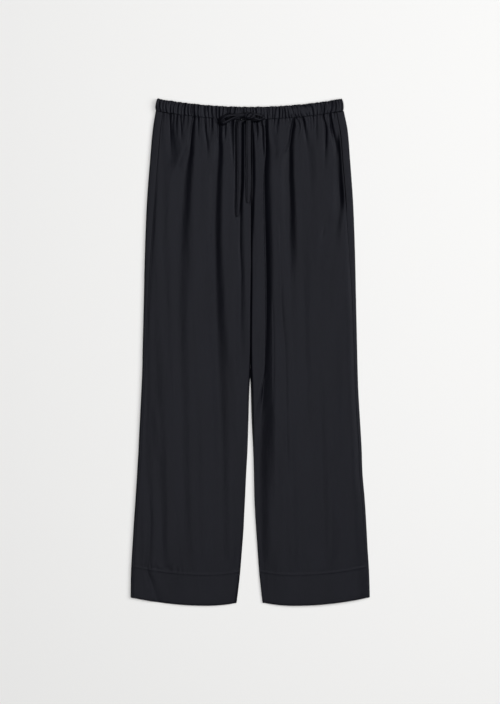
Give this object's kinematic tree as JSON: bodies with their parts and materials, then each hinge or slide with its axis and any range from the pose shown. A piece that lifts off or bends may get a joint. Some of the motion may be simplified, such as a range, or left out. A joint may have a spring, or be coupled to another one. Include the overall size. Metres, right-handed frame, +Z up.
{
  "type": "wide-leg pants",
  "caption": "Wide-leg pull-on pants laid flat, with a gathered elastic waistband, a drawstring tied in a bow, side-seam pockets and deep turned-up hems.",
  "frame": {"origin": "on the ground, under the middle of the garment as it lies", "axes": "+X to the wearer's left, +Y to the waist, +Z up from the surface it lies on"},
  "size_m": [0.4945, 1.0489, 0.0192],
  "materials": {
    "satin_cloth": "soft satin sheen, near-black navy",
    "waistband_cloth": "gathered satin over elastic, near-black navy",
    "tie_cloth": "folded satin strip, near-black navy"
  },
  "bodies": {
    "root": {"front_right_leg": "satin_cloth", "front_left_leg": "satin_cloth", "back_right_leg": "satin_cloth", "back_left_leg": "satin_cloth", "waistband_front": "waistband_cloth", "waistband_back": "waistband_cloth", "pocket_facing_right": "satin_cloth", "pocket_facing_left": "satin_cloth", "drawstring_knot": "tie_cloth", "drawstring_loop_right": "tie_cloth", "drawstring_loop_left": "tie_cloth", "drawstring_tail_right": "tie_cloth", "drawstring_tail_left": "tie_cloth"}
  },
  "joints": []
}
